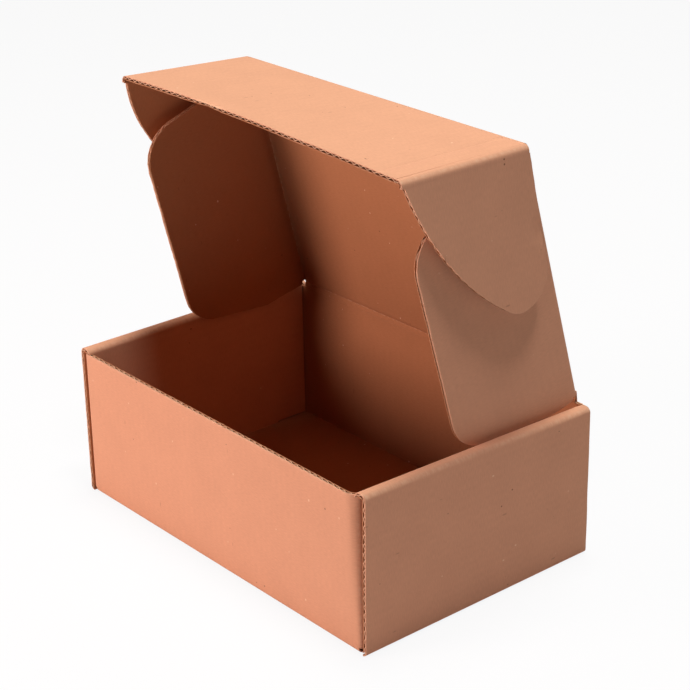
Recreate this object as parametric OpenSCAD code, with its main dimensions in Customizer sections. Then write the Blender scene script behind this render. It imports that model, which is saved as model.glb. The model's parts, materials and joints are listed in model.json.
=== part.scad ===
// Corrugated mailer with rolled side walls and a hinged tuck lid.
// Every panel is one thickness of board; the lid and its flaps fold on creases.

/* [Tray] */
// Outside width of the tray
box_w = 320; // [300:1:340]
// Outside depth of the tray, front to back
box_d = 206; // [192:1:220]
// Height of the rolled side walls
box_h = 118; // [110:1:126]

/* [Board] */
// Thickness of the corrugated board
board = 3; // [2.7:0.1:3.3]
// Inside radius of a tight fold
fold_r = 0.5; // [0.3:0.1:1]
// Inside radius of the two folds along a rolled wall
roll_r = 1; // [0.6:0.1:1.4]
// Free space each side of a flap held in a rolled wall
tuck_gap = 0.75; // [0.5:0.05:1]
// Gap between a crease and the flap that turns on it
crease_gap = 0.3; // [0.2:0.05:0.5]

/* [Lid] */
// Angle of the lid from closed
lid_open = 75.5; // [60:0.5:90]
// Fold of the tuck flap from the plane of the lid
tuck_fold = 75; // [70:0.5:90]
// Fold of the dust flaps from the plane of the lid
dust_fold = 90; // [85:0.5:95]
// Fold of the ears from the plane of the tuck flap
ear_fold = 86; // [80:0.5:90]
// Free space between the closed tuck flap and the front wall
lid_gap = 1.5; // [1:0.1:2.5]
// Height of the lid's crease above the side walls
crease_rise = 0.5; // [0:0.1:1.5]

/* [Tuck flap and ears] */
// Depth of the tuck flap
tuck_d = 111; // [104:1:116]
// Free space between an ear and the side wall
ear_gap = 1; // [0.6:0.1:1.6]
// Distance of the ears from the tuck crease
ear_top = 2; // [1:0.1:3]
// Distance of the ears from the tuck flap's free edge
ear_low = 1; // [0.5:0.1:2]
// Flare of the ears' straight edge towards the lid
ear_flare = 8; // [4:0.5:9]
// Rounding of the ears' end
ear_r = 21; // [16:1:26]
// Radius of the ears' long curved edge
ear_bow_r = 250; // [225:1:275]
// Slope of that curved edge where it leaves the tuck flap's free edge
ear_slope = 23; // [18:0.5:28]

/* [Dust flaps] */
// Length of the dust flaps from their creases
dust_e = 109; // [100:1:111]
// Free space between a dust flap and an ear at the tuck crease
dust_gap = 0.7; // [0.5:0.1:1.2]
// Free space between a dust flap and the side wall at the lid's hinge
side_gap = 0.6; // [0.5:0.1:1.2]
// Distance of the dust flaps from the lid's hinge
dust_rear = 2; // [2:0.5:6]
// Distance of the dust flaps from the tuck crease
dust_front = 4; // [3:0.5:6]
// Rounding of the dust flaps at their rear corner
dust_rear_r = 24; // [16:1:30]
// Rounding of the dust flaps at their front corner
dust_front_r = 29; // [20:1:34]
// Taper of the dust flaps' rear edge
dust_rear_taper = 9; // [6:0.5:12]
// Taper of the dust flaps' front edge
dust_front_taper = 6.5; // [5:0.5:9]
// Width of the crushed score at the dust flaps' creases
score_w = 4.8; // [4.2:0.1:6]

/* [Corner flaps and locks] */
// Length of the corner flaps inside the side walls
corner_l = 68; // [50:1:80]
// Cut at the free corners of the corner flaps
corner_cut = 12; // [6:1:16]
// Free space above and below the corner flaps
corner_gap = 0.9; // [0.6:0.1:1.4]
// Free space between the inner panels and the end walls
inner_gap = 1; // [0.6:0.1:1.6]
// Width of a lock tab
tab_w = 38; // [30:1:46]
// Free space round a lock tab in its slot
tab_gap = 0.5; // [0.3:0.1:0.8]

/* [Hidden] */
$fn = 72;
half_w = box_w / 2;
half_d = box_d / 2;
bend_r = fold_r + board;
roll_out = roll_r + board;
wall_s = 3 * board + 2 * tuck_gap;
flap_in = board + tuck_gap;
wall_top = box_h - board - corner_gap;
foot = board + corner_gap;
crease_z = box_h + crease_rise;
crease_y = half_d - board / 2;
lid_l = box_d - 2 * board - lid_gap;
inside_x = half_w - wall_s;
ear_x = inside_x - ear_gap - board / 2;
dust_x = ear_x - board - dust_gap;
hinge_x = inside_x - side_gap - board / 2;
lid_taper = atan((hinge_x - dust_x) / lid_l);
flat_x = half_w - flap_in - bend_r;
start = board / 2 + crease_gap;
tab_y = box_d / 4;
inner_y = half_d - board - inner_gap;

// Points of an arc about c, from angle a to angle b.
function arc(c, r, a, b, n = 10) =
    [for (i = [0 : n]) c + r * [cos(a + (b - a) * i / n), sin(a + (b - a) * i / n)]];

// A quarter ring of board whose outer corner is at the origin, filling +x and +y.
module bend_2d(r) {
    translate([r + board, r + board])
        intersection() {
            difference() {
                circle(r + board);
                circle(r);
            }
            translate([-r - board, -r - board])
                square(r + board);
        }
}

// Section of a rolled wall down to its inner panel: x runs in from the outer face, y runs up.
module roll_2d() {
    bend_2d(fold_r);
    translate([0, bend_r])
        square([board, box_h - bend_r - roll_out]);
    translate([0, box_h])
        mirror([0, 1])
            bend_2d(roll_r);
    translate([roll_out, box_h - board])
        square([wall_s - 2 * roll_out, board]);
    translate([wall_s, box_h])
        rotate(180)
            bend_2d(roll_r);
}

// Outline of an inner panel with its two lock tabs: x runs along the wall, y runs up.
module inner_2d() {
    seat = board + tab_gap;
    polygon([
        [-inner_y, box_h - roll_out],
        [-inner_y, seat],
        [-tab_y - tab_w / 2, seat],
        [-tab_y - tab_w / 2, tab_gap],
        [-tab_y + tab_w / 2, tab_gap],
        [-tab_y + tab_w / 2, seat],
        [tab_y - tab_w / 2, seat],
        [tab_y - tab_w / 2, tab_gap],
        [tab_y + tab_w / 2, tab_gap],
        [tab_y + tab_w / 2, seat],
        [inner_y, seat],
        [inner_y, box_h - roll_out]
    ]);
}

// The rolled wall on the right.
module rolled_wall() {
    translate([half_w, 0, 0])
        rotate([90, 0, 0])
            mirror([1, 0, 0])
                linear_extrude(box_d, center = true)
                    roll_2d();
    translate([inside_x, 0, 0])
        rotate([90, 0, 90])
            linear_extrude(board)
                inner_2d();
}

module slots() {
    for (y = [-tab_y, tab_y])
        translate([inside_x - tab_gap, y - tab_w / 2 - tab_gap, -board])
            cube([board + 2 * tab_gap, tab_w + 2 * tab_gap, 3 * board]);
}

module base_plate() {
    x = half_w - bend_r;
    y = half_d - bend_r;
    difference() {
        linear_extrude(board)
            polygon([[-x, -y], [x, -y], [x, y], [-x, y]]);
        for (side = [0, 1])
            mirror([side, 0, 0])
                slots();
    }
}

// Plan of an end wall with a corner flap folded in at each end, its outer face on y = 0.
module corner_2d() {
    polygon([[-flat_x, 0], [flat_x, 0], [flat_x, board], [-flat_x, board]]);
    for (side = [0, 1])
        mirror([side, 0])
            translate([flat_x + bend_r, 0]) {
                mirror([1, 0])
                    bend_2d(fold_r);
                translate([-board, bend_r])
                    square([board, corner_l]);
            }
}

// Outline of the corner flaps from the side: x runs in from the end wall, y runs up.
module corner_side_2d() {
    end = bend_r + corner_l;
    polygon([
        [0, foot],
        [end - corner_cut, foot],
        [end, foot + corner_cut],
        [end, wall_top - corner_cut],
        [end - corner_cut, wall_top],
        [0, wall_top]
    ]);
}

// An end wall on the front side. The middle of the wall, within mid_x, stands up to mid_z.
module end_wall(mid_x, mid_z) {
    translate([0, -half_d, 0])
        rotate([90, 0, 90])
            linear_extrude(2 * flat_x, center = true)
                bend_2d(fold_r);
    translate([0, -half_d + board, 0])
        rotate([90, 0, 0])
            linear_extrude(board)
                polygon([
                    [-flat_x, bend_r],
                    [flat_x, bend_r],
                    [flat_x, wall_top],
                    [mid_x, wall_top],
                    [mid_x, mid_z],
                    [-mid_x, mid_z],
                    [-mid_x, wall_top],
                    [-flat_x, wall_top]
                ]);
    intersection() {
        translate([0, -half_d, foot])
            linear_extrude(wall_top - foot)
                corner_2d();
        translate([0, -half_d, 0])
            rotate([90, 0, 90])
                linear_extrude(box_w, center = true)
                    corner_side_2d();
    }
}

// A crease on a parent panel: a round edge along x, or along y from y0 to y1.
module crease_x(l) {
    rotate([0, 90, 0])
        cylinder(d = board, h = l, center = true);
}

module crease_y(y0, y1) {
    translate([0, y0, 0])
        rotate([-90, 0, 0])
            cylinder(d = board, h = y1 - y0);
}

module tray() {
    color("#c98a5e") {
        base_plate();
        for (side = [0, 1])
            mirror([side, 0, 0])
                rolled_wall();
        end_wall(flat_x, wall_top);
        mirror([0, 1, 0])
            end_wall(hinge_x, crease_z);
        translate([0, crease_y, crease_z])
            crease_x(2 * hinge_x);
    }
}

// Places a panel drawn flat at the closed lid's height, hinge at the origin, front at -y.
module on_lid() {
    translate([0, crease_y, crease_z])
        rotate([-lid_open, 0, 0])
            children();
}

module on_tuck() {
    on_lid()
        translate([0, -lid_l, 0])
            rotate([tuck_fold, 0, 0])
                children();
}

// Moves a part drawn along the y axis to the right-hand dust flap's crease, which tapers to the front.
module on_dust_line() {
    translate([dust_x, -lid_l, 0])
        rotate([0, 0, -lid_taper])
            translate([0, lid_l, 0])
                children();
}

module lid_2d() {
    rear_x = hinge_x - start * tan(lid_taper);
    polygon([[-dust_x, -lid_l], [dust_x, -lid_l], [rear_x, -start], [-rear_x, -start]]);
}

module lid() {
    color("#c4855a")
        on_lid() {
            linear_extrude(board, center = true)
                lid_2d();
            translate([0, -lid_l, 0])
                crease_x(2 * dust_x);
            for (side = [0, 1])
                mirror([side, 0, 0])
                    on_dust_line()
                        crease_y(-lid_l + dust_front, -dust_rear);
        }
}

module tuck_flap() {
    color("#d6a074")
        on_tuck() {
            translate([-ear_x, -tuck_d, -board / 2])
                cube([2 * ear_x, tuck_d - start, board]);
            for (side = [-1, 1])
                translate([side * ear_x, 0, 0])
                    crease_y(-tuck_d, -start);
        }
}

// Outline of a dust flap: x runs out from its crease, y is minus the distance from the lid's hinge.
function dust_outline() =
    let (
        rear = dust_rear_taper,
        front = dust_front_taper,
        rear_x = dust_e - dust_rear_r,
        front_x = dust_e - dust_front_r,
        front_y = -lid_l + dust_front,
        rear_c = [rear_x, -dust_rear - rear_x * tan(rear) - dust_rear_r / cos(rear)],
        front_c = [front_x, front_y + front_x * tan(front) + dust_front_r / cos(front)]
    )
    concat(
        [[start, -dust_rear - start * tan(rear)]],
        arc(rear_c, dust_rear_r, 90 - rear, 0),
        arc(front_c, dust_front_r, 0, front - 90),
        [[start, front_y + start * tan(front)]]
    );

// Cuts the inner corner along a crease so that the flap can fold well past square.
module scored(l) {
    difference() {
        children();
        rotate([90, 0, 0])
            linear_extrude(l)
                polygon([
                    [0, -board],
                    [start + score_w, -board],
                    [start + score_w, -board / 2],
                    [start, board / 3],
                    [0, board / 3]
                ]);
    }
}

module dust_flap() {
    on_lid()
        on_dust_line()
            rotate([0, dust_fold, 0])
                scored(lid_l)
                    linear_extrude(board, center = true)
                        polygon(dust_outline());
}

// Outline of an ear: x runs out from its crease, y is minus the distance from the tuck crease.
function ear_outline() =
    let (
        low = tuck_d - ear_low,
        // centre of the long curve, which leaves the crease's end at the given slope
        bow_c = [0, -low] + ear_bow_r * [-sin(ear_slope), cos(ear_slope)],
        // centre of the rounded end, which touches the flared edge and the long curve
        along = [cos(ear_flare), sin(ear_flare)],
        inward = [sin(ear_flare), -cos(ear_flare)],
        p = [0, -ear_top] + ear_r * inward,
        q = p - bow_c,
        b = q * along,
        reach = -b + sqrt(b * b - q * q + pow(ear_bow_r - ear_r, 2)),
        end_c = p + reach * along,
        turn = atan2(end_c[1] - bow_c[1], end_c[0] - bow_c[0]),
        last = atan2(-low - bow_c[1], start - bow_c[0])
    )
    concat(
        [[start, -ear_top + start * tan(ear_flare)]],
        arc(end_c, ear_r, 90 + ear_flare, turn, 16),
        arc(bow_c, ear_bow_r, turn + (last - turn) / 12, last, 11)
    );

module ear() {
    on_tuck()
        translate([ear_x, 0, 0])
            rotate([0, ear_fold, 0])
                linear_extrude(board, center = true)
                    polygon(ear_outline());
}

module dust_flap_left() {
    color("#b87a52")
        mirror([1, 0, 0])
            dust_flap();
}

module dust_flap_right() {
    color("#b87a52")
        dust_flap();
}

module ear_left() {
    color("#cc9468")
        mirror([1, 0, 0])
            ear();
}

module ear_right() {
    color("#cc9468")
        ear();
}

tray();
lid();
tuck_flap();
dust_flap_left();
dust_flap_right();
ear_left();
ear_right();
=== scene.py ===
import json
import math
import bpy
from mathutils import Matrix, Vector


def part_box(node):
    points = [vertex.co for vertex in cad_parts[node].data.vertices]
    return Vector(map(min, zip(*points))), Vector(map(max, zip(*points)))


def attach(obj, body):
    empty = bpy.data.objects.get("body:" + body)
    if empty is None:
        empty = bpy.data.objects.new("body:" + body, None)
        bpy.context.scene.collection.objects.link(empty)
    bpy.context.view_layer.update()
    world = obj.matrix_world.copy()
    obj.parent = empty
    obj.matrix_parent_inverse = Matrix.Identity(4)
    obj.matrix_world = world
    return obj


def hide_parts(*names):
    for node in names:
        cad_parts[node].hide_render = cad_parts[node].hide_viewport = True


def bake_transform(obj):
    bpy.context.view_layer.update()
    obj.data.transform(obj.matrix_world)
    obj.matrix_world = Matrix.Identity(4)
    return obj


bl_info = {
    "name": "Corrugated mailer box",
    "version": (1, 0, 0),
    "blender": (4, 5, 0),
    "location": "View3D > Sidebar > Mailer",
    "description": "Builds an open corrugated mailer from liners and fluted medium",
    "category": "Add Mesh",
}

import bmesh
import bpy
from mathutils import Matrix, Vector, noise

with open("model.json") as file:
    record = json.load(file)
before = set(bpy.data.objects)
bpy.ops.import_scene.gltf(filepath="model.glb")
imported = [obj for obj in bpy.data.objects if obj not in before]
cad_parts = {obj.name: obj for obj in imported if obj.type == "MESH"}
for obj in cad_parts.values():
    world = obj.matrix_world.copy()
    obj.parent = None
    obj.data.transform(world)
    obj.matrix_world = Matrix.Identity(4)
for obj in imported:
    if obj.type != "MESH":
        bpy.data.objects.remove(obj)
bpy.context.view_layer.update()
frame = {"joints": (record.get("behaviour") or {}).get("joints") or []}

JOINT = {j["name"]: j for j in frame["joints"]}
TRAY_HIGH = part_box("tray")[1]
HINGE = Vector(JOINT["lid_hinge"]["pos_m"])
TUCK = Vector(JOINT["tuck_crease"]["pos_m"])
EAR_X = JOINT["ear_crease_right"]["pos_m"][0]
ACROSS = Vector((1, 0, 0))
LID_UP = (HINGE - TUCK).normalized()
LID_OUT = ACROSS.cross(LID_UP)
TUCK_UP = -Vector(JOINT["ear_crease_right"]["axis"])
TUCK_OUT = ACROSS.cross(TUCK_UP)
LID_L = (TUCK - HINGE).length
DUST_LINE = Vector(JOINT["dust_crease_right"]["axis"])
TAPER = DUST_LINE.x / DUST_LINE.dot(LID_UP)
DUST_MID = Vector(JOINT["dust_crease_right"]["pos_m"])
FRONT_X = DUST_MID.x - TAPER * LID_L / 2
HINGE_X = DUST_MID.x + TAPER * LID_L / 2
MM = 0.001
PHOTO_SIDE = 690
SENSOR = 36.0
BOX_MIDDLE = Vector((0, 0, 0.15))
RIGHT_ANGLE = math.pi / 2

# Board: its layers, the flutes' steps and overlap with the facings, and its cut edges
OUTER, INNER, MEDIUM = range(3)
FLUTE_STEPS = 8
FLUTE_OVERLAP = 0.03 * MM
FLUTE_INSET = 0.1 * MM
SHARP = math.radians(35)
FRAY = 0.3 * MM
FRAY_GRAIN = 3 * MM
AT_EDGE = 0.1 * MM

# Creases: wear, crushed width and depth, the score beside them, and the steps along them
CREASE_WEAR = 1.6 * MM
FOLD_WEAR = 2.2 * MM
CRUSH_WIDTH = 1.6 * MM
CRUSH = 0.38
CRUSH_DEPTH = 0.25 * MM
SCORE = 7 * MM
SCORE_DEPTH = 0.65 * MM
SCORE_STRIP = 9 * MM
CREASE_STEP = 8 * MM
FLAP_STEP = 3.5 * MM

# Flaps: folds at rest and where their creases end
DUST_FOLD = math.radians(90)
EAR_FOLD = math.radians(86)
DUST_FRONT = 4 * MM
CREASE_END = 2 * MM

# Where each panel lies on the pattern of the paper, in metres, so that no two look alike
WALL_PATCH, TUCK_PATCH, LID_PATCH, DUST_PATCH, EAR_PATCH = 0.6, 1.1, 1.3, 1.7, 2.1
SIDE_PATCH = 0.4

# Finish of the papers: the strength of each trait, and the colours of specks and of worn places
FACING = {"Cloud": 0.022, "Fibre": 0.05, "Specks": 0.9, "Flute print": 0.005, "Wear": 0.2}
FLUTES = {"Cloud": 0.05, "Fibre": 0.08, "Specks": 0.3, "Flute print": 0.0, "Wear": 0.0}
DARK_SPECK = (0.20, 0.085, 0.04, 1)
PALE_SPECK = (0.86, 0.62, 0.42, 1)
RUBBED = (0.84, 0.58, 0.39, 1)


class MailerSizes(bpy.types.PropertyGroup):
    """Sizes of the board and of the folded box"""

    thickness: bpy.props.FloatProperty(
        name="Board", description="Thickness of the corrugated board",
        default=3 * MM, unit="LENGTH")
    liner: bpy.props.FloatProperty(
        name="Liner", description="Thickness of each flat facing",
        default=0.6 * MM, unit="LENGTH")
    medium: bpy.props.FloatProperty(
        name="Medium", description="Thickness of the fluted sheet between the facings",
        default=0.5 * MM, unit="LENGTH")
    pitch: bpy.props.FloatProperty(
        name="Flute pitch", description="Distance from one flute to the next",
        default=6.4 * MM, unit="LENGTH")
    fold: bpy.props.FloatProperty(
        name="Fold radius", description="Radius of a tight fold at the middle of the board",
        default=2 * MM, unit="LENGTH")
    roll: bpy.props.FloatProperty(
        name="Roll radius", description="Radius of the two folds on a rolled wall",
        default=2.5 * MM, unit="LENGTH")
    wall: bpy.props.FloatProperty(
        name="Rolled wall", description="Thickness of a rolled side wall",
        default=10.5 * MM, unit="LENGTH")
    corner: bpy.props.FloatProperty(
        name="Corner flap", description="Length of the flaps inside the rolled walls",
        default=68 * MM, unit="LENGTH")
    tab: bpy.props.FloatProperty(
        name="Lock tab", description="Width of the tabs that lock the inner panels",
        default=38 * MM, unit="LENGTH")
    tuck: bpy.props.FloatProperty(
        name="Tuck flap", description="Depth of the tuck flap",
        default=111 * MM, unit="LENGTH")
    dust: bpy.props.FloatProperty(
        name="Dust flap", description="Length of the dust flaps",
        default=109 * MM, unit="LENGTH")
    crease: bpy.props.FloatProperty(
        name="Crease", description="Half the width of a crushed crease",
        default=4 * MM, unit="LENGTH")


class MailerColours(bpy.types.PropertyGroup):
    """Colours of the kraft papers, the inside one darkened as painted shade, and of the floor"""

    outer: bpy.props.FloatVectorProperty(
        name="Outside", description="Facing on the outside of the box",
        default=(0.66, 0.323, 0.192), size=3, min=0, max=1, subtype="COLOR")
    # Kraft colour of the inside facing, made darker and redder than the outside one as painted shade for
    # the dim inside of the box
    inner: bpy.props.FloatVectorProperty(
        name="Inside", description="Facing on the inside of the box",
        default=(0.43, 0.175, 0.08), size=3, min=0, max=1, subtype="COLOR")
    medium: bpy.props.FloatVectorProperty(
        name="Flutes", description="Fluted sheet between the facings",
        default=(0.68, 0.40, 0.25), size=3, min=0, max=1, subtype="COLOR")
    floor: bpy.props.FloatVectorProperty(
        name="Floor", description="Pale floor under the box",
        default=(0.74, 0.70, 0.71), size=3, min=0, max=1, subtype="COLOR")


class MailerStage(bpy.types.PropertyGroup):
    """Camera and light"""

    focal: bpy.props.FloatProperty(
        name="Focal length", description="Focal length in pixels of the square frame",
        default=1983)
    place: bpy.props.FloatVectorProperty(
        name="Camera", description="Place of the camera",
        default=(0.998, -0.815, 0.702), size=3, subtype="TRANSLATION", unit="LENGTH")
    azimuth: bpy.props.FloatProperty(
        name="Azimuth", description="Direction of the camera from the front",
        default=math.radians(50.16), subtype="ANGLE")
    elevation: bpy.props.FloatProperty(
        name="Elevation", description="Downward look of the camera",
        default=math.radians(23.57), subtype="ANGLE")
    roll: bpy.props.FloatProperty(
        name="Roll", description="Turn of the camera about its view",
        default=math.radians(-1.12), subtype="ANGLE")
    top: bpy.props.FloatProperty(
        name="Top light", description="Power of the large lamp above",
        default=54, unit="POWER")
    right: bpy.props.FloatProperty(
        name="Right light", description="Power of the smaller lamp above the right side",
        default=27, unit="POWER")
    front: bpy.props.FloatProperty(
        name="Front light", description="Power of the lamp low at the front left",
        default=26, unit="POWER")
    sky: bpy.props.FloatProperty(
        name="Fill", description="Strength of the even light from all round",
        default=0.01)


def sizes():
    return bpy.context.scene.mailer_sizes


def colours():
    return bpy.context.scene.mailer_colours


def part_of(value):
    """The value held between 0 and 1."""
    return max(0.0, min(1.0, value))


def mirrored(positions):
    """Positions from 0 on, with their mirror images before them."""
    return [-p for p in positions[:0:-1]] + positions


class Fold:
    """The middle line of folded board in a section: straight runs and left-hand bends."""

    def __init__(self, start):
        self.parts = []
        self.point = Vector(start)
        self.heading = 0.0
        self.length = 0.0
        self.marks = [0.0]
        self.bends = []

    def run(self, length, pieces=1):
        self._add(length, 0.0, pieces)
        return self

    def turn(self, angle, radius, pieces=8):
        self._add(angle * radius, 1 / radius, pieces)
        return self

    def _add(self, length, curve, pieces):
        self.parts.append((self.length, self.point.copy(), self.heading, curve))
        if curve:
            self.bends.append(self.length + length / 2)
        self.marks += [self.length + length * (i + 1) / pieces for i in range(pieces)]
        self.point = self.at(self.length + length, 0)
        self.heading += length * curve
        self.length += length

    def at(self, along, inward):
        """The point at a length along the middle line, moved towards its left side."""
        begin, point, heading, curve = [
            p for p in self.parts if p[0] <= along + 1e-9 or p is self.parts[0]][-1]
        step = along - begin
        ahead = Vector((math.cos(heading), math.sin(heading)))
        left = Vector((-ahead.y, ahead.x))
        if curve == 0.0:
            return point + ahead * step + left * inward
        turn = step * curve
        centre = point + left / curve
        spoke = -left * math.cos(turn) + ahead * math.sin(turn)
        return centre + spoke * (1 / curve - inward)


def spread(*stops):
    """Positions from the first number on, each later pair being (end, number of steps)."""
    found = [stops[0]]
    for end, steps in stops[1:]:
        begin = found[-1]
        found += [begin + (end - begin) * (i + 1) / steps for i in range(steps)]
    return found


def flat_grid(columns, rows):
    """A flat grid whose columns and rows stand at the given positions."""
    bm = bmesh.new()
    nu, nv = len(columns) - 1, len(rows) - 1
    bmesh.ops.create_grid(bm, x_segments=nu, y_segments=nv, size=1)
    for v in bm.verts:
        v.co.x = columns[round((v.co.x + 1) / 2 * nu)]
        v.co.y = rows[round((v.co.y + 1) / 2 * nv)]
    return bm


def trim(bm, outline, inset):
    """Cuts a flat grid to a convex outline given anticlockwise."""
    for a, b in zip(outline, outline[1:] + outline[:1]):
        edge = Vector((b[0] - a[0], b[1] - a[1], 0))
        if edge.length < 1e-7:
            continue
        away = Vector((edge.y, -edge.x, 0)).normalized()
        bmesh.ops.bisect_plane(
            bm, geom=bm.verts[:] + bm.edges[:] + bm.faces[:], dist=1e-7,
            plane_co=Vector((a[0], a[1], 0)) - away * inset, plane_no=away, clear_outer=True)


def sheet(columns, rows, keep, outline, inset):
    """A flat grid less the faces that keep leaves out and what lies outside the outline."""
    bm = flat_grid(columns, rows)
    if keep:
        lost = [f for f in bm.faces if not keep(*f.calc_center_median().xy)]
        bmesh.ops.delete(bm, geom=lost, context="FACES")
    if outline:
        trim(bm, outline, inset)
    return bm


def fray(rough, seed):
    """Roughens the cut edges."""
    for v in rough:
        near = noise.noise_vector(Vector((v.co.x / FRAY_GRAIN, v.co.y / FRAY_GRAIN, seed)))
        v.co.x += near.x * FRAY
        v.co.y += near.y * FRAY


def flat_place(vertex):
    """A vertex's place on the flat sheet, rounded so that both sides of a sheet agree."""
    return round(vertex.co.x / MM, 3), round(vertex.co.y / MM, 3)


def fold_wear(distances, width=CREASE_WEAR):
    """Wear of the paper near folds at the given distances."""
    return max(math.exp(-(d / width) ** 2) for d in distances)


def board(name, columns, rows, place, keep=None, outline=None, free=None, shift=(0, 0), folds=None):
    """One panel of corrugated board: two facings and the waved sheet between them.

    Columns run across the flutes and rows along them; place turns (u, v, inward) into a point,
    and folds gives how much the paper is worn at (u, v) by a fold.
    """
    s = sizes()
    mesh = bpy.data.meshes.new(name)
    half = s.thickness / 2 - s.liner / 2
    wave = s.thickness / 2 - s.liner - s.medium / 2 + FLUTE_OVERLAP
    count = max(4, round((columns[-1] - columns[0]) / s.pitch * FLUTE_STEPS))
    fine = spread(columns[0] + FLUTE_INSET, (columns[-1] - FLUTE_INSET, count))
    whole = bmesh.new()
    for layer in (OUTER, INNER, MEDIUM):
        cut = set()
        if layer == MEDIUM:
            bm = sheet(fine, rows, keep, outline, FLUTE_INSET)
            for v in bm.verts:
                v.co.z = wave * math.sin(2 * math.pi * v.co.x / s.pitch)
            bm.normal_update()
            bmesh.ops.solidify(bm, geom=bm.faces[:], thickness=s.medium)
        else:
            bm = sheet(columns, rows, keep, outline, 0)
            rough = [v for v in bm.verts if free and v.is_boundary and free(v.co.x, v.co.y)]
            fray(rough, layer + 0.5)
            cut = {flat_place(v) for v in rough}
            bm.normal_update()
            level = half if layer == INNER else -half
            bmesh.ops.solidify(bm, geom=bm.faces[:], thickness=s.liner)
            middle = sum(v.co.z for v in bm.verts) / len(bm.verts)
            for v in bm.verts:
                v.co.z += level - middle
        uv = bm.loops.layers.uv.new("UVMap")
        worn = bm.verts.layers.float.new("worn")
        for v in bm.verts:
            v[worn] = 1.0 if flat_place(v) in cut else folds(v.co.x, v.co.y) if folds else 0.0
        for f in bm.faces:
            f.material_index = layer
            for loop in f.loops:
                loop[uv].uv = (loop.vert.co.x + shift[0], loop.vert.co.y + shift[1])
        for v in bm.verts:
            v.co = place(*v.co)
        bmesh.ops.recalc_face_normals(bm, faces=bm.faces[:])
        part = bpy.data.meshes.new(name + "_part")
        bm.to_mesh(part)
        bm.free()
        whole.from_mesh(part)
        bpy.data.meshes.remove(part)
    whole.to_mesh(mesh)
    whole.free()
    for paper in ("kraft_outer", "kraft_inner", "flute_medium"):
        mesh.materials.append(bpy.data.materials[paper])
    mesh.shade_smooth()
    mesh.set_sharp_from_angle(angle=SHARP)
    piece = bpy.data.objects.new(name, mesh)
    bpy.context.scene.collection.objects.link(piece)
    return piece


def on_plane(origin, across, up, inward, bow=None, carry=None):
    """Places a flat panel; bow moves it inward by (u, v), and carry moves it with its parent by v."""
    def place(u, v, w):
        lift = bow(u, v) if bow else 0
        point = origin + across * u + up * v + inward * (w + lift)
        return point + carry(v) if carry else point
    return place


def crease_fold(angle, radius, reach):
    """Section of a crease whose two planes meet at the origin."""
    corner = radius * math.tan(angle / 2)
    return Fold((-reach, 0)).run(reach - corner, 3).turn(angle, radius, 8).run(reach - corner, 3)


def squeezed(fold, along, inward):
    """A crease is crushed from the inside along its middle."""
    near = (along - fold.length / 2) / CRUSH_WIDTH
    crushed = math.exp(-near * near)
    return inward * (1 - CRUSH * crushed) - CRUSH_DEPTH * crushed


def scored(inward, distance):
    """The inside is pressed down beside a crease, so that a flap can fold close to its panel."""
    s = sizes()
    press = part_of((SCORE - distance) / (SCORE - s.crease))
    return inward - press * SCORE_DEPTH * (0.5 + inward / s.thickness)


def crease(
        name, fold, along_flutes, span, origin, ahead, inward, line,
        shift=(0, 0), carry=None, press=None):
    """A creased strip. Ahead leads from parent to child in the parent's plane, line runs along it.

    Press gives the distance of a place along the strip from the score of another crease.
    """
    def place(a, b, w):
        p = fold.at(a, squeezed(fold, a, scored(w, press(b)) if press else w))
        point = origin + ahead * p.x + inward * p.y + line * b
        return point + carry(b) if carry else point

    steps = max(2, round((span[1] - span[0]) / CREASE_STEP))
    if along_flutes:
        return board(
            name, fold.marks, spread(span[0], (span[1], steps)), place, shift=shift,
            folds=lambda u, v: fold_wear([u - fold.length / 2]))
    ends = spread(span[0], (span[0] + SCORE_STRIP, 6), (span[1] - SCORE_STRIP, steps), (span[1], 6))
    return board(
        name, ends, fold.marks, lambda u, v, w: place(v, u, w), shift=shift,
        folds=lambda u, v: fold_wear([v - fold.length / 2]))


def noise_node(tree, vector, scale, detail, stretch=None):
    """Noise from 0 to 1, stretched where asked."""
    node = tree.nodes.new("ShaderNodeTexNoise")
    node.inputs["Scale"].default_value = scale
    node.inputs["Detail"].default_value = detail
    if stretch:
        mapping = tree.nodes.new("ShaderNodeMapping")
        mapping.inputs["Scale"].default_value = stretch
        tree.links.new(vector, mapping.inputs["Vector"])
        vector = mapping.outputs["Vector"]
    tree.links.new(vector, node.inputs["Vector"])
    return node.outputs["Fac"]


def specks(tree, vector, scale, radius, rare, stretch=(1, 1, 1)):
    """Spots scattered one to a cell, of which only the rarer share is kept."""
    mapping = tree.nodes.new("ShaderNodeMapping")
    mapping.inputs["Scale"].default_value = [scale * k for k in stretch]
    tree.links.new(vector, mapping.inputs["Vector"])
    cells = tree.nodes.new("ShaderNodeTexVoronoi")
    cells.inputs["Scale"].default_value = 1.0
    tree.links.new(mapping.outputs["Vector"], cells.inputs["Vector"])
    split = tree.nodes.new("ShaderNodeSeparateColor")
    tree.links.new(cells.outputs["Color"], split.inputs["Color"])
    size = math_node(tree, "MULTIPLY", split.outputs["Green"], radius)
    depth = math_node(tree, "SUBTRACT", size, cells.outputs["Distance"])
    spot = ramp(tree, depth, -0.2 * radius, 0.2 * radius)
    kept = math_node(tree, "GREATER_THAN", split.outputs["Red"], rare)
    return math_node(tree, "MULTIPLY", spot, kept)


def ramp(tree, value, low, high, start=0.0, end=1.0):
    """The value carried from one range to another, and held at its ends."""
    node = tree.nodes.new("ShaderNodeMapRange")
    node.inputs["From Min"].default_value = low
    node.inputs["From Max"].default_value = high
    node.inputs["To Min"].default_value = start
    node.inputs["To Max"].default_value = end
    tree.links.new(value, node.inputs["Value"])
    return node.outputs["Result"]


def math_node(tree, operation, a, b):
    """One operation on two numbers or sockets."""
    node = tree.nodes.new("ShaderNodeMath")
    node.operation = operation
    for socket, value in zip(node.inputs, (a, b)):
        if isinstance(value, (int, float)):
            socket.default_value = value
        else:
            tree.links.new(value, socket)
    return node.outputs["Value"]


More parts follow.
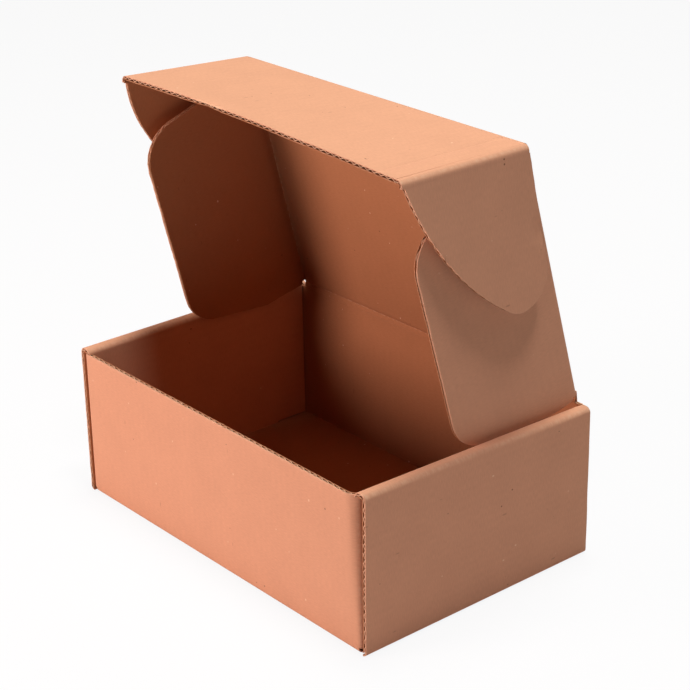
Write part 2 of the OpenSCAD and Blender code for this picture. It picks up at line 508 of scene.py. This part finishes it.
def tinted(tree, factor, colour, other):
    """Another colour over the first one where the factor is high."""
    node = tree.nodes.new("ShaderNodeMix")
    node.data_type = "RGBA"
    tree.links.new(factor, node.inputs["Factor"])
    tree.links.new(colour, node.inputs["A"])
    node.inputs["B"].default_value = other
    return node.outputs["Result"]


def paper_group():
    """Kraft paper: cloudy tone, stretched fibres, dark and pale specks and the print of the flutes."""
    group = bpy.data.node_groups.new("kraft_paper", "ShaderNodeTree")
    face = group.interface
    face.new_socket("Vector", in_out="INPUT", socket_type="NodeSocketVector")
    face.new_socket("Colour", in_out="INPUT", socket_type="NodeSocketColor")
    for label in ("Cloud", "Fibre", "Specks", "Flute print", "Wear", "Worn"):
        face.new_socket(label, in_out="INPUT", socket_type="NodeSocketFloat")
    face.new_socket("Colour", in_out="OUTPUT", socket_type="NodeSocketColor")
    face.new_socket("Roughness", in_out="OUTPUT", socket_type="NodeSocketFloat")
    face.new_socket("Height", in_out="OUTPUT", socket_type="NodeSocketFloat")
    links = group.links
    given = group.nodes.new("NodeGroupInput").outputs
    taken = group.nodes.new("NodeGroupOutput").inputs
    vector = given["Vector"]

    def swing(value, low, high, share):
        """The value about its middle, times the share that the material asks for."""
        return math_node(group, "MULTIPLY", ramp(group, value, low, high, -1, 1), given[share])

    cloud = noise_node(group, vector, scale=38, detail=3)
    fibre = noise_node(group, vector, scale=1, detail=4, stretch=(260, 1500, 1))
    dark = specks(group, vector, scale=105, radius=0.075, rare=0.6)
    hairs = specks(group, vector, scale=150, radius=0.095, rare=0.5, stretch=(1, 0.28, 1))
    pale = specks(group, vector, scale=130, radius=0.085, rare=0.62, stretch=(1, 0.7, 1))
    flute = group.nodes.new("ShaderNodeTexWave")
    flute.wave_type = "BANDS"
    flute.bands_direction = "X"
    flute.inputs["Scale"].default_value = 2 * math.pi / (20 * sizes().pitch)
    flute.inputs["Distortion"].default_value = 0.0
    links.new(vector, flute.inputs["Vector"])
    tone = swing(cloud, 0.3, 0.7, "Cloud")
    strand = swing(fibre, 0.3, 0.7, "Fibre")
    print_ = swing(flute.outputs["Fac"], 0, 1, "Flute print")
    level = math_node(group, "ADD", math_node(group, "ADD", tone, strand), print_)
    level = math_node(group, "ADD", level, 1.0)
    scale = group.nodes.new("ShaderNodeVectorMath")
    scale.operation = "SCALE"
    links.new(given["Colour"], scale.inputs[0])
    links.new(level, scale.inputs["Scale"])
    colour = scale.outputs["Vector"]
    hair_spot = math_node(group, "MULTIPLY", hairs, 0.35)
    dark_spot = math_node(group, "MAXIMUM", dark, hair_spot)
    dark_spot = math_node(group, "MULTIPLY", dark_spot, given["Specks"])
    pale_spot = math_node(group, "MULTIPLY", given["Specks"], 0.7)
    pale_spot = math_node(group, "MULTIPLY", pale, pale_spot)
    colour = tinted(group, dark_spot, colour, DARK_SPECK)
    colour = tinted(group, pale_spot, colour, PALE_SPECK)
    patch = ramp(group, noise_node(group, vector, scale=330, detail=2), 0.4, 0.62)
    rubbed = math_node(group, "MULTIPLY", ramp(group, given["Worn"], 0.72, 1.0), patch)
    rubbed = math_node(group, "MULTIPLY", rubbed, given["Wear"])
    colour = tinted(group, rubbed, colour, RUBBED)
    links.new(colour, taken["Colour"])
    links.new(ramp(group, fibre, 0.3, 0.7, 0.86, 0.74), taken["Roughness"])
    strand_height = math_node(group, "MULTIPLY", fibre, 0.35)
    flute_height = math_node(group, "MULTIPLY", flute.outputs["Fac"], 0.7)
    links.new(math_node(group, "ADD", strand_height, flute_height), taken["Height"])
    return group


def paper(name, colour, group, finish, bump):
    """A paper's material: the kraft group with its own colour, finish and relief."""
    material = bpy.data.materials.new(name)
    material.use_nodes = True
    tree = material.node_tree
    links = tree.links
    shader = tree.nodes["Principled BSDF"]
    shader.inputs["Specular IOR Level"].default_value = 0.08
    node = tree.nodes.new("ShaderNodeGroup")
    node.node_tree = group
    place = tree.nodes.new("ShaderNodeUVMap")
    place.uv_map = "UVMap"
    links.new(place.outputs["UV"], node.inputs["Vector"])
    node.inputs["Colour"].default_value = (*colour, 1)
    for label, value in finish.items():
        node.inputs[label].default_value = value
    worn = tree.nodes.new("ShaderNodeAttribute")
    worn.attribute_name = "worn"
    links.new(worn.outputs["Fac"], node.inputs["Worn"])
    links.new(node.outputs["Colour"], shader.inputs["Base Color"])
    links.new(node.outputs["Roughness"], shader.inputs["Roughness"])
    relief = tree.nodes.new("ShaderNodeBump")
    relief.inputs["Strength"].default_value = bump
    relief.inputs["Distance"].default_value = 0.2 * MM
    links.new(node.outputs["Height"], relief.inputs["Height"])
    links.new(relief.outputs["Normal"], shader.inputs["Normal"])
    return material


class MAILER_OT_papers(bpy.types.Operator):
    """Make the kraft facings and the fluted medium"""

    bl_idname = "mailer.papers"
    bl_label = "Kraft papers"

    def execute(self, context):
        c = colours()
        group = paper_group()
        paper("kraft_outer", c.outer, group, FACING, bump=0.09)
        # The inside facing's material takes the darkened inside colour: painted shade for the dim inside
        # of the box
        paper("kraft_inner", c.inner, group, FACING, bump=0.09)
        paper("flute_medium", c.medium, group, FLUTES, bump=0.2)
        return {"FINISHED"}


def tray_size():
    """Half the tray's width, half its depth, and the height of its rolled walls."""
    below_hinge = 0.5 * MM
    return TRAY_HIGH.x, TRAY_HIGH.y, HINGE.z - below_hinge


def settled(x, y, z):
    """The right wall's roll is pressed down towards the back, and stands out a little at the front."""
    half_w, half_d, high = tray_size()
    lean, sag, rise = 1.5 * MM, 4 * MM, 5 * MM
    inmost, ease = 14 * MM, 4 * MM
    near = part_of((x - half_w + inmost) / ease)
    front = (half_d - y) / (2 * half_d)
    level = z / high * near
    return x + lean * front * level, z + level * (rise * front - sag)


class MAILER_OT_tray_wrap(bpy.types.Operator):
    """Fold the base with its rolled side walls"""

    bl_idname = "mailer.tray_wrap"
    bl_label = "Base and rolled walls"

    def execute(self, context):
        s = sizes()
        half_w, half_d, high = tray_size()
        t = s.thickness
        gap, seam, short = 0.1 * MM, 1.2 * MM, 18 * MM
        bend, roll = s.fold + t / 2, s.roll + t / 2
        inside = half_w - s.wall
        section = Fold((0, t / 2))
        section.run(inside - gap, 16).run(t + 2 * gap)
        section.run(half_w - bend - inside - t - gap, 2)
        section.turn(RIGHT_ANGLE, s.fold)
        section.run(high - bend - roll, 14)
        section.turn(RIGHT_ANGLE, s.roll)
        section.run(s.wall - 2 * roll, 2)
        section.turn(RIGHT_ANGLE, s.roll)
        section.run(high - roll - t - seam, 14)
        seat = section.length
        section.run(t + seam - gap)
        slot = (inside - gap, inside + t + gap)
        columns = mirrored(section.marks)
        inner_y = half_d - t - 1 * MM
        tab_lo, tab_hi = half_d / 2 - s.tab / 2, half_d / 2 + s.tab / 2
        rows = mirrored(spread(
            0, (tab_lo - gap, 4), (tab_lo, 1), (tab_hi, 4), (tab_hi + gap, 1),
            (inner_y - short, 2), (inner_y, 2), (half_d - bend, 1), (half_d, 1)))
        top_end = seat - (high - roll - t - seam)

        def keep(u, v):
            front = v < short - inner_y and u > 0
            u, v = abs(u), abs(v)
            if u < half_w - bend:
                in_slot = slot[0] < u < slot[1] and tab_lo - gap < v < tab_hi + gap
                return v < half_d - bend and not in_slot
            if u > seat:
                return tab_lo < v < tab_hi
            return u < top_end or (v < inner_y and not front)

        def place(u, v, w):
            p = section.at(abs(u), w)
            x, z = settled(math.copysign(p.x, u) if u else 0.0, v, p.y)
            return Vector((x, v, z))

        piece = board(
            "tray_wrap", columns, rows, place, keep=keep,
            free=lambda u, v: abs(v) > half_d - AT_EDGE,
            folds=lambda u, v: fold_wear([abs(u) - b for b in section.bends], FOLD_WEAR))
        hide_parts("tray")
        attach(piece, "tray")
        return {"FINISHED"}


def pinched(u, level, flat, bend):
    """How far the front wall's right fold is drawn in, and how firmly the roll holds its flap.

    Level is the height from 0 to 1: the fold is drawn in most at its top.
    """
    at_foot, more_at_top = 1 * MM, 4.4 * MM
    drawn_width, loose, ease = 50 * MM, 7 * MM, 11 * MM
    before = part_of((u - flat + drawn_width) / drawn_width)
    held = part_of((u - flat - bend - loose) / ease)
    return (at_foot + more_at_top * level) * before * before, held * held * (3 - 2 * held)


class MAILER_OT_end_walls(bpy.types.Operator):
    """Fold the front and back walls with their corner flaps"""

    bl_idname = "mailer.end_walls"
    bl_label = "Front and back walls"

    def execute(self, context):
        s = sizes()
        half_w, half_d, high = tray_size()
        t = s.thickness
        bend = s.fold + t / 2
        gap, side_gap, rounder = 0.9 * MM, 0.75 * MM, 7 * MM
        flat = half_w - t - side_gap - bend

        def folded(soft):
            """The wall and a corner flap from above, with the fold between them rounder by soft."""
            return Fold((0, 0)).run(flat - soft, 60).turn(RIGHT_ANGLE, s.fold + soft).run(s.corner, 9)

        plan = folded(0.0)
        foot_bend = Fold((0, t / 2)).turn(RIGHT_ANGLE, s.fold)
        lip = foot_bend.length
        top = lip + high - t - gap - bend
        foot = lip + t + gap - bend
        hinge_foot = lip + HINGE.z - bend - s.crease
        columns = mirrored(plan.marks)
        for name, side, crest in (("front_wall", -1, top), ("back_wall", 1, hinge_foot)):
            rows = foot_bend.marks + spread(foot, (top, 12))
            if crest > top + AT_EDGE:
                rows = rows + [crest]
            elif crest < top - AT_EDGE:
                rows = [r for r in rows if r < crest - AT_EDGE] + [crest]

            def keep(u, v, crest=crest):
                if abs(u) > flat:
                    return foot < v < top
                return v < crest

            def place(u, v, w, side=side):
                if v < lip:
                    p = foot_bend.at(v, w)
                    return Vector((u, side * (half_d - bend + p.x), p.y))
                z = bend + v - lip
                drawn = side < 0 < u
                p = folded(rounder * z / high if drawn else 0.0).at(abs(u), w)
                x = math.copysign(p.x, u) if u else 0.0
                y = side * (half_d - t / 2 - p.y)
                inward, held = 0.0, float(abs(u) > flat + lip / 2)
                if drawn:
                    inward, held = pinched(u, z / high, flat, lip)
                held_x, held_z = settled(x, y, z)
                x += (held_x - x) * held - inward * (1 - held)
                return Vector((x, y, z + (held_z - z) * held))

            piece = board(
                name, columns, rows, place, keep=keep, shift=(0, side * WALL_PATCH),
                free=lambda u, v: v > top - AT_EDGE,
                folds=lambda u, v: fold_wear(
                    [abs(u) - plan.bends[0], v - foot_bend.bends[0]], FOLD_WEAR))
            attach(piece, "tray")
        return {"FINISHED"}


def bow_of_tuck(u, v):
    """The tuck flap's free edge curves up between its creases, and its left corner stands higher."""
    bow_height, bow_power, twist_height, twist_from = 4.5 * MM, 1.6, 5.5 * MM, 0.3
    reach = abs(v) / sizes().tuck
    bow = bow_height * math.cos(RIGHT_ANGLE * min(1, abs(u) / EAR_X)) * reach ** bow_power
    left = max(0.0, (twist_from * EAR_X - u) / ((1 + twist_from) * EAR_X))
    return -bow - twist_height * left * reach


class MAILER_OT_lid(bpy.types.Operator):
    """Build the lid and the creases round it"""

    bl_idname = "mailer.lid"
    bl_label = "Lid"

    def execute(self, context):
        s = sizes()
        c = s.crease
        x, rear_x = FRONT_X - c + TAPER * c, HINGE_X - c - TAPER * c
        flat = on_plane(HINGE, ACROSS, LID_UP, -LID_OUT)
        columns = mirrored(spread(0, (rear_x - SCORE_STRIP, 20), (rear_x, 8)))
        piece = board(
            "lid_panel", columns, spread(-LID_L + c, (-c, 26)),
            lambda u, v, w: flat(u, v, scored(w, HINGE_X + TAPER * v - abs(u))), shift=(0, LID_PATCH),
            outline=[(-x, -LID_L + c), (x, -LID_L + c), (rear_x, -c), (-rear_x, -c)])
        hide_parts("lid")
        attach(piece, "lid")
        lean = math.acos(max(-1, min(1, -LID_UP.z)))
        back = crease(
            "hinge_fold", crease_fold(lean, s.fold, c), False, (-HINGE_X, HINGE_X), HINGE,
            Vector((0, 0, 1)), Vector((0, -1, 0)), ACROSS, (0, LID_PATCH),
            press=lambda b: HINGE_X - abs(b))
        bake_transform(back)
        turn = math.acos(max(-1, min(1, LID_UP.dot(TUCK_UP))))
        front = crease(
            "tuck_fold", crease_fold(turn, s.fold, c), False, (-FRONT_X, FRONT_X), TUCK,
            -LID_UP, -LID_OUT, ACROSS, (0, TUCK_PATCH))
        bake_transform(front)
        return {"FINISHED"}


class MAILER_OT_tuck(bpy.types.Operator):
    """Build the tuck flap"""

    bl_idname = "mailer.tuck"
    bl_label = "Tuck flap"

    def execute(self, context):
        s = sizes()
        x = EAR_X - s.crease
        line, beside = EAR_X - 21 * MM, 1.6 * MM
        line_width, line_depth = 0.9 * MM, 0.35 * MM
        spot, spot_width, spot_depth = -48 * MM, 20 * MM, 5 * MM
        rag_u, rag_w, rag_seed = 2.2 * MM, 2 * MM, 3.7
        torn_outside, torn_inside, torn_swing = 2.4 * MM, 0.8 * MM, 1.6 * MM
        thinned, curled = 0.35, 0.9 * MM
        columns = spread(-x, (line - beside, 150), (line, 2), (line + beside, 2), (x, 8))
        rows = spread(-s.tuck, (-s.tuck + 2 * MM, 2), (-s.crease, 18))
        flat = on_plane(TUCK, ACROSS, TUCK_UP, -TUCK_OUT, bow_of_tuck)

        def place(u, v, w):
            """The flap, with a line pressed beside its right ear and a crushed spot on its free edge."""
            near = (u - line) / line_width
            w += line_depth * math.exp(-near * near)
            crushed = max(0.0, 1 - abs(u - spot) / spot_width) * max(0.0, 1 - (v + s.tuck) / spot_depth)
            if crushed > 0:
                rag = noise.noise(Vector((u / rag_u, rag_seed, w / rag_w)))
                torn = torn_outside if w < -0.3 * s.thickness else torn_inside
                v += crushed * (torn + torn_swing * rag)
                w = w * (1 - thinned * crushed) + curled * crushed * rag
            return flat(u, v, w)

        piece = board(
            "tuck_panel", columns, rows, place, free=lambda u, v: v < AT_EDGE - s.tuck,
            shift=(0, TUCK_PATCH))
        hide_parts("tuck_flap")
        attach(piece, "tuck_flap")
        return {"FINISHED"}


def arc(centre, radius, begin, end, steps=12):
    """Points of an arc between two angles in degrees."""
    angles = [math.radians(begin + (end - begin) * i / steps) for i in range(steps + 1)]
    return [(centre[0] + radius * math.cos(a), centre[1] + radius * math.sin(a)) for a in angles]


def dust_outline():
    """Outline of a dust flap, clockwise from its crease near the hinge.

    Its rear edge bends at the knee.
    """
    s = sizes()
    rear_r, front_r, knee = 28 * MM, 29 * MM, 42 * MM
    near, rear, front = 3, 18, 6.5
    rear_x, front_x = s.dust - rear_r, s.dust - front_r
    slope_n, slope_r, slope_f = (math.tan(math.radians(angle)) for angle in (near, rear, front))
    rear_y, front_y = 0.5 * MM, -LID_L + DUST_FRONT
    knee_y = rear_y - knee * slope_n
    rear_c = (rear_x, knee_y - (rear_x - knee) * slope_r - rear_r / math.cos(math.radians(rear)))
    front_c = (front_x, front_y + front_x * slope_f + front_r / math.cos(math.radians(front)))
    c = s.crease
    return ([(c, rear_y - c * slope_n), (knee, knee_y)] + arc(rear_c, rear_r, 90 - rear, 0)
            + arc(front_c, front_r, 0, front - 90) + [(c, front_y + c * slope_f)])


def ear_outline():
    """Outline of an ear, clockwise from its crease near the lid."""
    s = sizes()
    flare, slope = math.radians(8), math.radians(18)
    bow_r, end_r, top = 190 * MM, 24 * MM, CREASE_END
    low = s.tuck - 1 * MM
    bow = Vector((-bow_r * math.sin(slope), -low + bow_r * math.cos(slope)))
    along = Vector((math.cos(flare), math.sin(flare)))
    p = Vector((0, -top)) + end_r * Vector((math.sin(flare), -math.cos(flare)))
    q = p - bow
    b = q.dot(along)
    end = p + along * (-b + math.sqrt(b * b - q.length_squared + (bow_r - end_r) ** 2))
    turn = math.degrees(math.atan2(end.y - bow.y, end.x - bow.x))
    c = s.crease
    last_y = bow.y - math.sqrt(bow_r ** 2 - (c - bow.x) ** 2)
    last = math.degrees(math.atan2(last_y - bow.y, c - bow.x))
    return ([(c, -top + c * math.tan(flare))] + arc(end, end_r, 90 + math.degrees(flare), turn, 16)
            + arc(bow, bow_r, turn, last, 14)[1:])


def side_flaps(
        names, folds, bodies, end, line, out, angle, outline, span, patch,
        stand=None, lift=None, press=None):
    """A pair of flaps at the two sides of a parent panel, each on its own crease.

    Stand bulges a flap by (side, u, v), lift carries it with its parent by (side, v), and press scores
    its inside beside the crease.
    """
    s = sizes()
    low = min(p[1] for p in outline)
    high = max(p[1] for p in outline)
    reach = max(p[0] for p in outline)
    columns = spread(s.crease, (SCORE, 2), (reach, round(reach / FLAP_STEP)))
    rows = spread(low, (high, round((high - low) / FLAP_STEP)))
    for name, fold_name, body, side in zip(names, folds, bodies, (-1, 1)):
        pivot = Vector((end.x * side, end.y, end.z))
        up = Vector((line.x * side, line.y, line.z))
        level = up.cross(out) * side
        away = level * math.cos(angle) - out * math.sin(angle)
        inward = -(level * math.sin(angle) + out * math.cos(angle))
        bow = (lambda u, v, side=side: stand(side, u, v)) if stand else None
        carry = (lambda v, side=side: out * lift(side, v)) if lift else None
        flat = on_plane(pivot, away, up, inward, bow, carry)
        place = (lambda u, v, w, flat=flat: flat(u, v, scored(w, u))) if press else flat
        shift = (SIDE_PATCH * side, patch)
        piece = board(
            name, columns, rows, place, outline=outline[::-1],
            free=lambda u, v: u > s.crease + AT_EDGE, shift=shift)
        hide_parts(body)
        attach(piece, body)
        strip = crease(
            fold_name, crease_fold(angle, s.fold, s.crease), True, span, pivot, level, -out, up,
            shift, carry, press)
        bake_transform(strip)


class MAILER_OT_dust(bpy.types.Operator):
    """Build the lid's dust flaps"""

    bl_idname = "mailer.dust"
    bl_label = "Dust flaps"

    def execute(self, context):
        side_flaps(
            ("dust_panel_left", "dust_panel_right"), ("dust_fold_left", "dust_fold_right"),
            ("dust_flap_left", "dust_flap_right"),
            TUCK + ACROSS * FRONT_X + DUST_LINE * LID_L, DUST_LINE, LID_OUT, DUST_FOLD,
            dust_outline(), (-LID_L + DUST_FRONT, -CREASE_END), DUST_PATCH, press=lambda b: 0)
        return {"FINISHED"}


def ear_bulge(side, u, v):
    """The ears stand off the dust flaps: the right one at its front, the left one along its middle.

    The right one also has a small dent near its rear edge.
    """
    stand, left_end, length = 7 * MM, 2 * MM, 80 * MM
    dent_depth, dent_u, dent_v = 1.6 * MM, 57 * MM, 4 * MM
    dent_width, dent_height = 8 * MM, 4 * MM
    beyond = max(0.0, u - sizes().crease) / length
    if side > 0:
        near = ((u - dent_u) / dent_width) ** 2 + ((v - dent_v) / dent_height) ** 2
        return dent_depth * math.exp(-near) - stand * beyond * (0.25 + 0.75 * abs(v) / sizes().tuck)
    beyond = min(1.0, beyond)
    return -stand * math.sin(math.pi * beyond) - left_end * beyond


class MAILER_OT_ears(bpy.types.Operator):
    """Build the ears of the tuck flap"""

    bl_idname = "mailer.ears"
    bl_label = "Ears"

    def execute(self, context):
        s = sizes()
        side_flaps(
            ("ear_panel_left", "ear_panel_right"), ("ear_fold_left", "ear_fold_right"),
            ("ear_left", "ear_right"),
            TUCK + ACROSS * EAR_X, TUCK_UP, TUCK_OUT, EAR_FOLD,
            ear_outline(), (-s.tuck, -CREASE_END), EAR_PATCH,
            ear_bulge, lambda side, v: -bow_of_tuck(side * EAR_X, v))
        return {"FINISHED"}


class MAILER_OT_stage(bpy.types.Operator):
    """Set the pale floor, the light and the camera"""

    bl_idname = "mailer.stage"
    bl_label = "Stage"

    def execute(self, context):
        scene = context.scene
        stage = scene.mailer_stage
        scene.view_settings.view_transform = "Standard"
        self.floor()
        self.world(stage)
        self.lamp(
            "top_lamp", stage.top, size=0.8, toward=(-0.03, 0.1, 1), distance=2.6,
            colour=(0.93, 1, 0.97))
        self.lamp(
            "right_lamp", stage.right, size=0.45, toward=(0.3, -0.02, 1), distance=2.6,
            colour=(1, 0.96, 1))
        self.lamp(
            "front_lamp", stage.front, size=0.8, toward=(-0.36, -0.91, 0.24), distance=1.8,
            colour=(1, 0.79, 0.76))
        self.camera(stage)
        return {"FINISHED"}

    def floor(self):
        """A pale floor that keeps the shadow, and looks nearly white."""
        half_side, drop, white_share = 6, 0.3 * MM, 0.9
        bm = bmesh.new()
        bmesh.ops.create_grid(bm, x_segments=1, y_segments=1, size=half_side)
        bmesh.ops.translate(bm, verts=bm.verts[:], vec=(0, 0, -drop))
        mesh = bpy.data.meshes.new("floor")
        bm.to_mesh(mesh)
        bm.free()
        material = bpy.data.materials.new("pale_floor")
        material.use_nodes = True
        tree = material.node_tree
        tree.nodes.clear()
        out = tree.nodes.new("ShaderNodeOutputMaterial")
        mix = tree.nodes.new("ShaderNodeMixShader")
        pale = tree.nodes.new("ShaderNodeBsdfDiffuse")
        white = tree.nodes.new("ShaderNodeEmission")
        pale.inputs["Color"].default_value = (*colours().floor, 1)
        white.inputs["Strength"].default_value = 1.0
        tree.links.new(self.seen(tree, white_share), mix.inputs["Fac"])
        tree.links.new(pale.outputs["BSDF"], mix.inputs[1])
        tree.links.new(white.outputs["Emission"], mix.inputs[2])
        tree.links.new(mix.outputs["Shader"], out.inputs["Surface"])
        mesh.materials.append(material)
        floor = bpy.data.objects.new("floor", mesh)
        bpy.context.scene.collection.objects.link(floor)

    def seen(self, tree, share):
        """The share of white that camera, glossy and transmission rays see."""
        path = tree.nodes.new("ShaderNodeLightPath")
        total = path.outputs["Is Camera Ray"]
        for ray in ("Is Glossy Ray", "Is Transmission Ray"):
            total = math_node(tree, "MAXIMUM", total, path.outputs[ray])
        return math_node(tree, "MULTIPLY", total, share)

    def world(self, stage):
        """An even, weak fill that looks white to the camera."""
        world = bpy.data.worlds.new("studio")
        bpy.context.scene.world = world
        world.use_nodes = True
        tree = world.node_tree
        background = tree.nodes["Background"]
        background.inputs["Color"].default_value = (1, 1, 1, 1)
        strength = ramp(tree, self.seen(tree, 1.0), 0, 1, stage.sky, 1.0)
        tree.links.new(strength, background.inputs["Strength"])

    def lamp(self, name, power, size, toward, distance, colour):
        """A round soft lamp that looks at the middle of the box."""
        data = bpy.data.lights.new(name, "AREA")
        data.shape = "DISK"
        data.size = size
        data.energy = power
        data.color = colour
        lamp = bpy.data.objects.new(name, data)
        toward = Vector(toward).normalized()
        lamp.location = BOX_MIDDLE + toward * distance
        lamp.rotation_euler = toward.to_track_quat("Z", "Y").to_euler()
        bpy.context.scene.collection.objects.link(lamp)

    def camera(self, stage):
        """The camera at the photograph's place and angle."""
        data = bpy.data.cameras.new("camera")
        data.sensor_width = SENSOR
        data.lens = stage.focal / PHOTO_SIDE * SENSOR
        a, e = stage.azimuth, stage.elevation
        back = Vector((math.sin(a) * math.cos(e), -math.cos(a) * math.cos(e), math.sin(e)))
        right = (-back).cross(Vector((0, 0, 1))).normalized()
        up = right.cross(-back)
        turned = right * math.cos(stage.roll) + up * math.sin(stage.roll)
        top = up * math.cos(stage.roll) - right * math.sin(stage.roll)
        camera = bpy.data.objects.new("camera", data)
        camera.matrix_world = Matrix((
            (turned.x, top.x, back.x, stage.place[0]),
            (turned.y, top.y, back.y, stage.place[1]),
            (turned.z, top.z, back.z, stage.place[2]),
            (0, 0, 0, 1)))
        bpy.context.scene.collection.objects.link(camera)
        bpy.context.scene.camera = camera


STEPS = (
    MAILER_OT_papers, MAILER_OT_tray_wrap, MAILER_OT_end_walls, MAILER_OT_lid, MAILER_OT_tuck,
    MAILER_OT_dust, MAILER_OT_ears, MAILER_OT_stage)


class MAILER_PT_sidebar(bpy.types.Panel):
    """Lists the steps that build the box"""

    bl_idname = "MAILER_PT_sidebar"
    bl_label = "Mailer box"
    bl_space_type = "VIEW_3D"
    bl_region_type = "UI"
    bl_category = "Mailer"

    def draw(self, context):
        layout = self.layout
        for step in STEPS:
            layout.operator(step.bl_idname)
        scene = context.scene
        for group in (scene.mailer_sizes, scene.mailer_colours, scene.mailer_stage):
            for key in group.__annotations__:
                layout.prop(group, key)


CLASSES = (MailerSizes, MailerColours, MailerStage, *STEPS, MAILER_PT_sidebar)


def register():
    for cls in CLASSES:
        bpy.utils.register_class(cls)
    bpy.types.Scene.mailer_sizes = bpy.props.PointerProperty(type=MailerSizes)
    bpy.types.Scene.mailer_colours = bpy.props.PointerProperty(type=MailerColours)
    bpy.types.Scene.mailer_stage = bpy.props.PointerProperty(type=MailerStage)


def unregister():
    del bpy.types.Scene.mailer_stage
    del bpy.types.Scene.mailer_colours
    del bpy.types.Scene.mailer_sizes
    for cls in reversed(CLASSES):
        bpy.utils.unregister_class(cls)


def main():
    register()
    bpy.ops.mailer.papers()
    bpy.ops.mailer.tray_wrap()
    bpy.ops.mailer.end_walls()
    bpy.ops.mailer.lid()
    bpy.ops.mailer.tuck()
    bpy.ops.mailer.dust()
    bpy.ops.mailer.ears()
    bpy.ops.mailer.stage()


if __name__ == "__main__":
    main()
